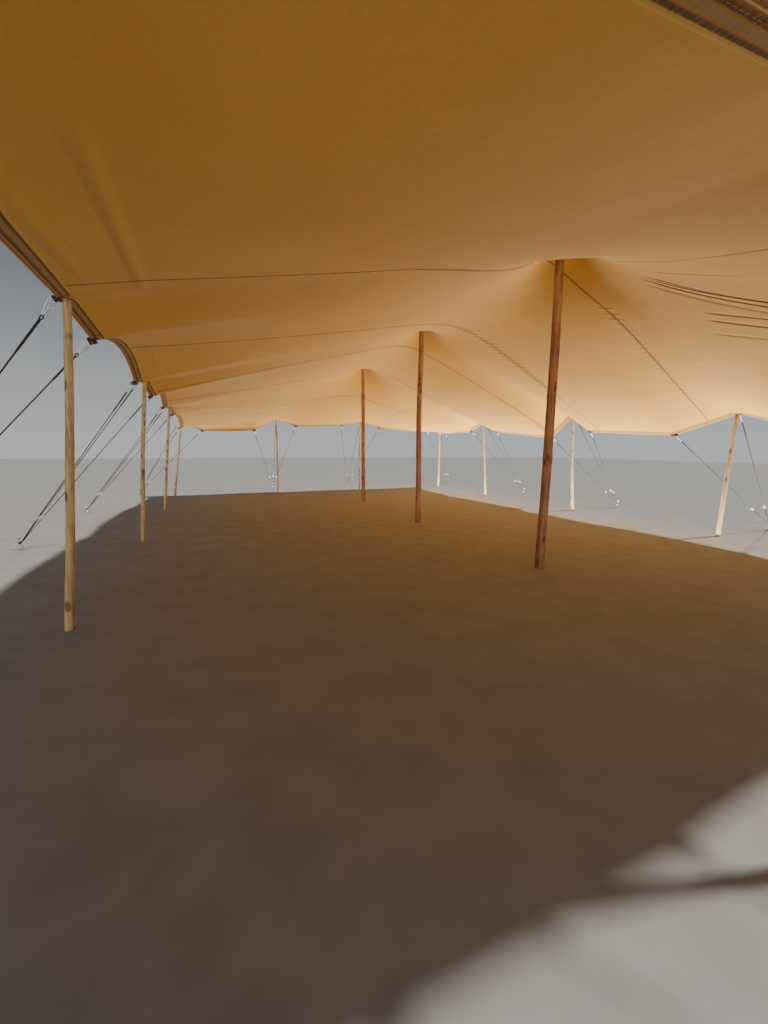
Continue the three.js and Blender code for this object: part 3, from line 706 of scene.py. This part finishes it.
def add_tube(work, centres, radii, sides, loop=False):
    """Adds a tube along centres to work, closed at its ends. radii has one number for each ring,
    or one for each ring and side. Its UV map has the share of a turn and the metres along it."""
    centres = np.asarray(centres, float)
    rings = len(centres)
    if np.ndim(radii) < 2:
        radii = np.reshape(radii, (-1, 1))
    radii = np.broadcast_to(radii, (rings, sides + 1))
    if loop:
        ahead = np.roll(centres[:-1], -1, 0) - np.roll(centres[:-1], 1, 0)
        ahead = np.concatenate([ahead, ahead[:1]])
    else:
        ahead = np.gradient(centres, axis=0)
    ahead /= np.linalg.norm(ahead, axis=1)[:, None]
    first = np.cross(ahead[0], (0.0, 0.0, 1.0) if abs(ahead[0][2]) < 0.9 else (0.0, 1.0, 0.0))
    outs = [first / np.linalg.norm(first)]
    for way in ahead[1:]:
        out = outs[-1] - way * outs[-1].dot(way)
        outs.append(out / np.linalg.norm(out))
    outs = np.array(outs)
    if loop:
        turn = math.atan2(np.cross(outs[-1], outs[0]).dot(ahead[0]), outs[-1].dot(outs[0]))
        spread = np.linspace(0, turn, rings)
    else:
        spread = np.zeros(rings)
    sides_way = np.cross(ahead, outs)
    angle = np.linspace(0, 2 * math.pi, sides + 1)[None, :] + spread[:, None]
    points = centres[:, None] + radii[..., None] * (
        np.cos(angle)[..., None] * outs[:, None] + np.sin(angle)[..., None] * sides_way[:, None])
    along = np.insert(np.linalg.norm(np.diff(centres, axis=0), axis=1).cumsum(), 0, 0)
    made = bmesh.ops.create_grid(work, x_segments=sides, y_segments=rings - 1, size=1)["verts"]
    made.sort(key=lambda vertex: (round(vertex.co.y, 5), round(vertex.co.x, 5)))
    spots = {}
    for vertex, point, index in zip(made, points.reshape(-1, 3), range(rings * (sides + 1))):
        vertex.co = point
        spots[vertex] = (index % (sides + 1) / sides, along[index // (sides + 1)])
    layer = work.loops.layers.uv.verify()
    faces = {face for vertex in made for face in vertex.link_faces}
    for face in faces:
        face.smooth = True
        for corner in face.loops:
            corner[layer].uv = spots[corner.vert]
    bmesh.ops.remove_doubles(work, verts=made, dist=1e-5)
    if not loop:
        made = [vertex for vertex in made if vertex.is_valid]
        rim = {edge for vertex in made for edge in vertex.link_edges if edge.is_boundary}
        bmesh.ops.holes_fill(work, edges=list(rim), sides=0)


def finished_piece(name, work, material):
    bmesh.ops.recalc_face_normals(work, faces=work.faces[:])
    return mesh_object(name, work, material)


def log_centres(base, top, height, bow, turn, rings):
    """The middle line of a crooked log that leans from its base to its top."""
    t = np.linspace(0, 1, rings)
    sway = bow * (np.sin(math.pi * t) + 0.35 * np.sin(3 * math.pi * t + turn)) * np.sin(math.pi * t)
    x = base[0] + (top[0] - base[0]) * t + sway * math.cos(turn)
    y = base[1] + (top[1] - base[1]) * t + sway * math.sin(turn)
    return np.stack([x, y, height * t], axis=1)


def log_radii(bottom, top, height, rings, sides, seed, knots):
    """Radii of a peeled log: tapered, uneven and with low swellings where branches were cut."""
    chance = np.random.default_rng(seed)
    t = np.linspace(0, 1, rings)[:, None]
    angle = np.linspace(0, 2 * math.pi, sides + 1)[None, :]
    radii = bottom + (top - bottom) * t + 0 * angle
    for wave in range(1, 7):
        lengthwise = wave * 5 * t * height + chance.uniform(0, 6.3)
        radii = radii + radii * 0.012 / wave * np.sin(lengthwise)
        around = wave * angle + chance.uniform(0, 6.3) + 0.9 * height * t
        radii = radii + radii * 0.010 / wave * np.sin(around)
    for _ in range(knots):
        up, round_at = chance.uniform(0.08, 0.95), chance.uniform(0, 2 * math.pi)
        apart = np.angle(np.exp(1j * (angle - round_at)))
        swelling = np.exp(-((t - up) * height / 0.035) ** 2 - (apart / 0.5) ** 2)
        radii = radii + chance.uniform(0.06, 0.13) * bottom * swelling
    return radii


def log_wood(name, pale, dark, knot_color, seed):
    """Peeled wood: long grain streaks, small cracks and dark knots."""
    finish = Finish(name)
    shifted = {"Location": (seed, seed * 2.3, seed * 1.7)}
    place = finish.add("ShaderNodeTexCoord", {}, {}, "Object")
    long_grain = finish.add("ShaderNodeMapping", {}, {"Vector": place, "Scale": (60, 60, 2.2), **shifted})
    cracks_at = finish.add("ShaderNodeMapping", {}, {"Vector": place, "Scale": (110, 110, 3.0), **shifted})
    knots_at = finish.add("ShaderNodeMapping", {}, {"Vector": place, "Scale": (9, 9, 4.5), **shifted})
    streaks = finish.noise(long_grain, 1.0, 5.0, 0.6)
    patches = finish.noise(knots_at, 0.7, 3.0)
    crack = 1.0 - finish.noise(cracks_at, 1.0, 2.0).between(0.30, 0.36)
    cell = finish.add("ShaderNodeTexVoronoi", {}, {"Vector": knots_at, "Scale": 1.0})
    knot = 1.0 - cell.between(0.16, 0.30)
    base = finish.blend((streaks * 0.6 + patches * 0.4).between(0.36, 0.62), dark, pale)
    darker = finish.blend(crack * 0.55 + knot * 0.75, base, knot_color)
    normal = finish.bump(streaks * 0.5 - crack * 0.6 - knot * 0.3, 0.004, 0.7)
    inputs = {"Base Color": darker, "Roughness": 0.72 - streaks * 0.15, "Normal": normal}
    return finish.plain_surface(inputs)


for number, y in enumerate(KING_ROWS, 1):
    rings, sides = 150, 40
    wood = log_wood(f"king_wood_{number}", (0.36, 0.160, 0.049, 1), (0.18, 0.067, 0.019, 1),
                    (0.045, 0.018, 0.008, 1), number * 3.1)
    foot = (KING_X, y)
    centres = log_centres(foot, foot, KING_HEIGHT - SEAM_FABRIC / 2, KING_BOW, (number - 1) * 2.1, rings)
    work = bmesh.new()
    add_tube(work, centres, log_radii(*KING_RADII, KING_HEIGHT, rings, sides, 40 + number, 16), sides)
    king = finished_piece(f"king_log_{number}", work, wood)
    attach(king, "root")
    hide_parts(f"king_pole_{number}")

# Edge poles.
# Fourteen thinner peeled logs, pale yellow with dark knots, carry the edge of the sheet. Each
# leans a little and ends just under the hem.
EDGE_RADII = (0.036, 0.030)
EDGE_BOW = 0.016
POLE_TOP_INSET = 0.06
EDGE_FEET = {
    "left_1": (-5.02, -7.31), "left_2": (-4.95, -3.70), "left_3": (-4.95, 0.0),
    "left_4": (-5.04, 3.84), "left_5": (-5.10, 7.05), "right_1": (5.10, -7.31),
    "right_2": (5.03, -3.30), "right_3": (5.04, 0.15), "right_4": (4.90, 3.82),
    "right_5": (4.95, 7.24), "near_1": (-1.40, -7.31), "near_2": (1.42, -7.31),
    "far_1": (-1.73, 7.31), "far_2": (1.40, 7.24),
}


class EdgePlace:
    """A pole on the sheet's edge: its foot and top, the hem over it, the clamps beside it and the
    way it is pulled."""

    def __init__(self, name, outward, hem, clamps):
        self.name = name
        self.foot = np.array(EDGE_FEET[name])
        self.outward = np.array(outward) / np.linalg.norm(outward)
        self.hem = hem
        self.clamps = clamps
        self.top = hem[:2] - np.sign(np.round(self.outward, 3)) * POLE_TOP_INSET


def hem_place(side, point):
    """A point on the mounted hem, and the direction of the hem there in plan."""
    if side in ("left", "right"):
        x = net_x[0] if side == "left" else net_x[-1]
        return sheet_point(np.array(x), np.array(point.along)), np.array([0.0, 1.0, 0.0])
    y = net_y[0] if side == "near" else net_y[-1]
    return sheet_point(np.array(point.along), np.array(y)), np.array([1.0, 0.0, 0.0])


def edge_places():
    sides = {"left": LEFT_HEM, "right": RIGHT_HEM, "near": NEAR_HEM, "far": FAR_HEM}
    ways = {"left": (-1, 0), "right": (1, 0), "near": (0, -1), "far": (0, 1)}
    places = []
    for side, points in sides.items():
        poles = [index for index, point in enumerate(points) if point.kind == "pole"]
        middle = poles[1:-1]
        for number, index in enumerate(middle, 2 if side in ("left", "right") else 1):
            clamps = [hem_place(side, points[index + step]) for step in (-1, 1)]
            hem = hem_place(side, points[index])[0]
            places.append(EdgePlace(f"{side}_{number}", ways[side], hem, clamps))
    for side, sign in (("left", -1), ("right", 1)):
        for end, number, end_side in (("near", 1, -1), ("far", 5, 1)):
            column = sides[side]
            row = sides[end]
            corner = column[0] if end_side < 0 else column[-1]
            beside = column[1] if end_side < 0 else column[-2]
            across = row[1] if sign < 0 else row[-2]
            clamps = [hem_place(end, across), hem_place(side, beside)]
            hem = hem_place(side, corner)[0]
            places.append(EdgePlace(f"{side}_{number}", (sign, end_side), hem, clamps))
    return places


def smooth_steel(name, bright, dull):
    """Steel with duller smudges."""
    finish = Finish(name)
    smudge = finish.noise(finish.coordinates(), 60.0, 3.0)
    color = finish.blend(smudge.between(0.4, 0.7), bright, dull)
    normal = finish.bump(smudge, 0.0008, 0.4)
    rough = 0.30 + smudge * 0.3
    inputs = {"Base Color": color, "Metallic": 0.6, "Roughness": rough, "Normal": normal}
    return finish.plain_surface(inputs)


steel = smooth_steel("hook_steel", (0.78, 0.79, 0.80, 1), (0.55, 0.55, 0.54, 1))
places = edge_places()
for index, place in enumerate(places):
    rings, sides = 80, 28
    height = place.hem[2] - HEM_FABRIC / 2
    wood = log_wood(f"edge_wood_{place.name}", (0.54, 0.405, 0.18, 1), (0.34, 0.22, 0.079, 1),
                    (0.075, 0.04, 0.018, 1), index * 1.9)
    centres = log_centres(place.foot, place.top, height, EDGE_BOW, index * 2.4, rings)
    work = bmesh.new()
    add_tube(work, centres, log_radii(*EDGE_RADII, height, rings, sides, 60 + index, 9), sides)
    log = finished_piece(f"edge_log_{place.name}", work, wood)
    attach(log, "root")
    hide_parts(f"edge_pole_{place.name}")

# Guy ropes.
# At each edge pole two ribbed black clamps grip the hem and a smaller one sits over the pole's top.
# From each a pair of wire hooks runs to a spliced rope, and the ropes are tied round one stake.
STAKE_REACH = 1.65
STAKE_RADIUS = 0.014
STAKE_HEAD_RADIUS = 0.024
STAKE_HEIGHT = 0.21
STAKE_LEAN = 0.2
STAKE_RING_HEIGHT = 0.095
STAKE_RING_DEPTH = 0.036
STAKE_RING_BAR = 0.012
ROPE_SPREAD = 0.6
ROPE_RADIUS = 0.006
SPLICE_RADIUS = 0.010
SPLICE_LENGTH = 0.33
HOOK_BAR = 0.0036
HOOK_LENGTH = 0.17
HOOK_WIDTH = 0.026
EYE_LENGTH = 0.034
EYE_HALF = (0.020, 0.010)
EYE_ROPE_RADIUS = 0.0052
TACKLE_LENGTH = 0.50
TACKLE_HOOK = (0.085, 0.036)
TACKLE_RADIUS = 0.0042
RIB_PITCH = 0.016
STAKE_TURNS = 5
CLAMP = {"length": 0.11, "depth": 0.072, "height": 0.040, "grip": 0.034}
POLE_CLAMP = {"length": 0.060, "depth": 0.056, "height": 0.034, "grip": 0.022}


def axes_at(point, up, across, along):
    turned = Matrix([up, across, along]).transposed().to_4x4()
    turned.translation = Vector(point)
    return turned


def add_block(work, size, middle, frame_at, bevel, segments=2):
    """A block with rounded edges, placed in a frame."""
    made = bmesh.ops.create_cube(work, size=1.0)["verts"]
    bmesh.ops.scale(work, vec=size, verts=made)
    bmesh.ops.translate(work, vec=middle, verts=made)
    edges = list({edge for vertex in made for edge in vertex.link_edges})
    rounded = bmesh.ops.bevel(work, geom=edges, offset=bevel, segments=segments, profile=0.5,
                              affect="EDGES", material=-1)
    verts = {vertex for face in rounded["faces"] for vertex in face.verts}
    bmesh.ops.transform(work, matrix=frame_at, verts=list(verts))


def unit(vector):
    return vector / np.linalg.norm(vector)


def add_clamp(plastic, metal, grip, direction, across, size):
    """Two ribbed jaws bolted together over the hem."""
    up = np.cross(across, direction)
    frame_at = axes_at(grip, up, across, direction)
    middle = size["depth"] / 2 - size["grip"]
    jaw = size["height"] * 0.40
    for side in (-1, 1):
        height = side * (size["height"] - jaw) / 2
        add_block(plastic, (jaw, size["length"], size["depth"]), (height, 0, middle), frame_at, 0.004)
        ribs = round(size["length"] / RIB_PITCH)
        for rib in range(ribs):
            y = (rib + 0.5 - ribs / 2) * RIB_PITCH
            rib_at = (side * (size["height"] / 2 + 0.001), y, middle)
            add_block(plastic, (0.005, 0.007, size["depth"] * 0.86), rib_at, frame_at, 0.0015, 1)
    bolts = (-0.3, 0.3) if size["length"] > 0.08 else (0.0,)
    for share in bolts:
        y = share * size["length"]
        end = size["height"] / 2 + 0.008
        line = [frame_at @ Vector((x, y, middle + size["depth"] * 0.16)) for x in (-end, end)]
        add_tube(metal, [list(point) for point in line], [0.0045, 0.0045], 6)


def add_hook(metal, start, way, across, length, width):
    """A wire snap hook: an oval of round bar with a thicker sleeve on one side."""
    turn = np.linspace(0, 2 * math.pi, 33)
    reach = length / 2 - HOOK_BAR
    half = width / 2 - HOOK_BAR
    oval = [start + way * (length / 2 + reach * np.sin(a)) + across * half * np.sign(np.cos(a))
            * abs(np.cos(a)) ** 0.75 for a in turn]
    add_tube(metal, oval, np.full(33, HOOK_BAR), 8, loop=True)
    steps = (-0.18, -0.16, 0.08, 0.10)
    sleeve = [start + way * (length / 2 + step * length) + across * half for step in steps]
    add_tube(metal, sleeve, [HOOK_BAR, HOOK_BAR * 1.7, HOOK_BAR * 1.7, HOOK_BAR], 8)


def rope_fibre():
    """Black braid of eight strands each way."""
    finish = Finish("rope_fibre")
    spot = Spot(finish, finish.add("ShaderNodeUVMap", {"uv_map": "UVMap"}, {}))
    around = spot.x * (2 * math.pi * 8)
    lengthwise = spot.y * 520.0
    braid = (around + lengthwise).sine() * (around - lengthwise).sine()
    fuzz = finish.noise(finish.coordinates(), 900.0, 2.0)
    pale = (braid * 0.5 + fuzz).between(0.1, 0.9)
    color = finish.blend(pale, (0.010, 0.010, 0.011, 1), (0.042, 0.042, 0.045, 1))
    normal = finish.bump(braid + fuzz * 0.4, 0.0012, 0.9)
    inputs = {"Base Color": color, "Roughness": 0.85, "Normal": normal}
    return finish.plain_surface(inputs)


def ribbed_nylon():
    """Black nylon, dusty in places."""
    finish = Finish("ribbed_nylon")
    grain = finish.noise(finish.coordinates(), 700.0, 2.0)
    dust = finish.noise(finish.coordinates(), 40.0, 3.0)
    color = finish.blend(dust.between(0.5, 0.75), (0.012, 0.012, 0.013, 1), (0.055, 0.052, 0.048, 1))
    normal = finish.bump(grain, 0.0004, 0.5)
    inputs = {"Base Color": color, "Roughness": 0.42 + dust * 0.3, "Normal": normal}
    return finish.plain_surface(inputs)


rope = rope_fibre()
nylon = ribbed_nylon()


def add_guy(pieces, grip, eye, outward, across, size):
    """One guy: its clamp, its pair of hooks, its spliced rope and the tackle above the stake. grip
    is where it holds the hem, and eye is where it meets the stake."""
    plastic, metal, fibre = pieces
    pull = unit(eye - grip)
    direction = unit(outward + pull)
    across = unit(across - direction * across.dot(direction))
    add_clamp(plastic, metal, grip, direction, across, size)
    start = grip + direction * (size["depth"] - size["grip"] - 0.012)
    meeting = start + pull * (HOOK_LENGTH - HOOK_BAR)
    aside = unit(across - pull * across.dot(pull))
    opening = aside * size["length"] * 0.28 + np.cross(pull, aside) * size["height"] * 0.75
    for side in (-1, 1):
        foot = start + opening * side
        way = unit(meeting - foot)
        hook_across = unit(opening - way * opening.dot(way))
        add_hook(metal, foot, way, hook_across, HOOK_LENGTH, HOOK_WIDTH)
    middle = meeting + pull * 0.016
    longer, wider = pull * EYE_HALF[0], np.cross(pull, aside) * EYE_HALF[1]
    rope_eye = [middle + longer * math.sin(turn) + wider * math.cos(turn)
                for turn in np.linspace(0, 2 * math.pi, 21)]
    add_tube(fibre, rope_eye, np.full(21, EYE_ROPE_RADIUS), 8, loop=True)
    tail = meeting + pull * EYE_LENGTH
    length = np.linalg.norm(eye - tail)
    single = length - TACKLE_LENGTH
    steps = [0, 0.01, SPLICE_LENGTH * 0.85, SPLICE_LENGTH, length * 0.6, single]
    radii = [0.008, SPLICE_RADIUS, SPLICE_RADIUS * 0.9, ROPE_RADIUS, ROPE_RADIUS, ROPE_RADIUS]
    add_tube(fibre, [tail + pull * step for step in steps], radii, 10)
    rope_end = tail + pull * single
    add_hook(metal, rope_end - pull * 0.012, pull, aside, *TACKLE_HOOK)
    for side in (-1, 1):
        high = rope_end + pull * 0.062 + aside * side * 0.007
        add_tube(fibre, [high, eye + aside * side * 0.004], [TACKLE_RADIUS, TACKLE_RADIUS], 8)


def stake_axis(place):
    return np.array([*(place.outward * math.sin(STAKE_LEAN)), math.cos(STAKE_LEAN)])


def add_stake_turns(fibre, foot, axis):
    """Rope wound tightly round the stake."""
    first = unit(np.cross(axis, (0.0, 1.0, 0.3)))
    second = np.cross(axis, first)
    line = []
    for turn in np.linspace(0, STAKE_TURNS, 101):
        up = STAKE_RING_HEIGHT + 0.004 + STAKE_RING_DEPTH * 0.78 * turn / STAKE_TURNS
        out = first * math.cos(turn * 2 * math.pi) + second * math.sin(turn * 2 * math.pi)
        line.append(foot + axis * up + out * (STAKE_RADIUS + 0.0048))
    add_tube(fibre, line, np.full(len(line), TACKLE_RADIUS), 8)


for place in places:
    outward = np.array([*place.outward, 0.0])
    aside = np.array([-outward[1], outward[0], 0.0])
    foot = np.array([*(place.foot + place.outward * STAKE_REACH), 0.0])
    axis = stake_axis(place)
    middle = foot + axis * (STAKE_RING_HEIGHT + STAKE_RING_DEPTH / 2)
    pieces = [bmesh.new() for _ in range(3)]
    reach = STAKE_RADIUS + STAKE_RING_BAR * 0.66
    grips = [(place.hem, aside, POLE_CLAMP)]
    grips += [(point, hem_way, CLAMP) for point, hem_way in place.clamps]
    for grip, across, size in grips:
        side = np.sign(np.round((grip - place.hem).dot(aside), 3)) * ROPE_SPREAD
        eye = middle - outward * reach * math.cos(side) + aside * reach * math.sin(side)
        add_guy(pieces, grip, eye, outward, across, size)
    add_stake_turns(pieces[2], foot, axis)
    kinds = zip(("clamps", "hooks", "ropes"), pieces, (nylon, steel, rope))
    made = [finished_piece(f"{kind}_{place.name}", work, finish) for kind, work, finish in kinds]
    for piece, slot in zip(made, ("rope_black", "stake_steel", "rope_black")):
        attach(piece, "root")
    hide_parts(f"guy_ropes_{place.name}")

# Stakes.
# A round steel bar with a forged head is driven into the ground at a slant away from the tent.
stake_steel = smooth_steel("stake_steel", (0.46, 0.46, 0.47, 1), (0.27, 0.26, 0.25, 1))
for place in places:
    work = bmesh.new()
    foot = np.array([*(place.foot + place.outward * STAKE_REACH), 0.0])
    axis = stake_axis(place)
    heights = [-0.004, 0.02, 0.16]
    heights += [STAKE_HEIGHT - below for below in (0.030, 0.026, 0.012, 0.004, 0.0)]
    radii = [STAKE_RADIUS] * 4
    radii += [STAKE_HEAD_RADIUS - rounding for rounding in (0.0, 0.0, 0.004, 0.010)]
    centres = [foot + axis * height for height in heights]
    add_tube(work, centres, radii, 24)
    bar = finished_piece(f"stake_bar_{place.name}", work, stake_steel)
    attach(bar, "root")
    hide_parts(f"stake_{place.name}")
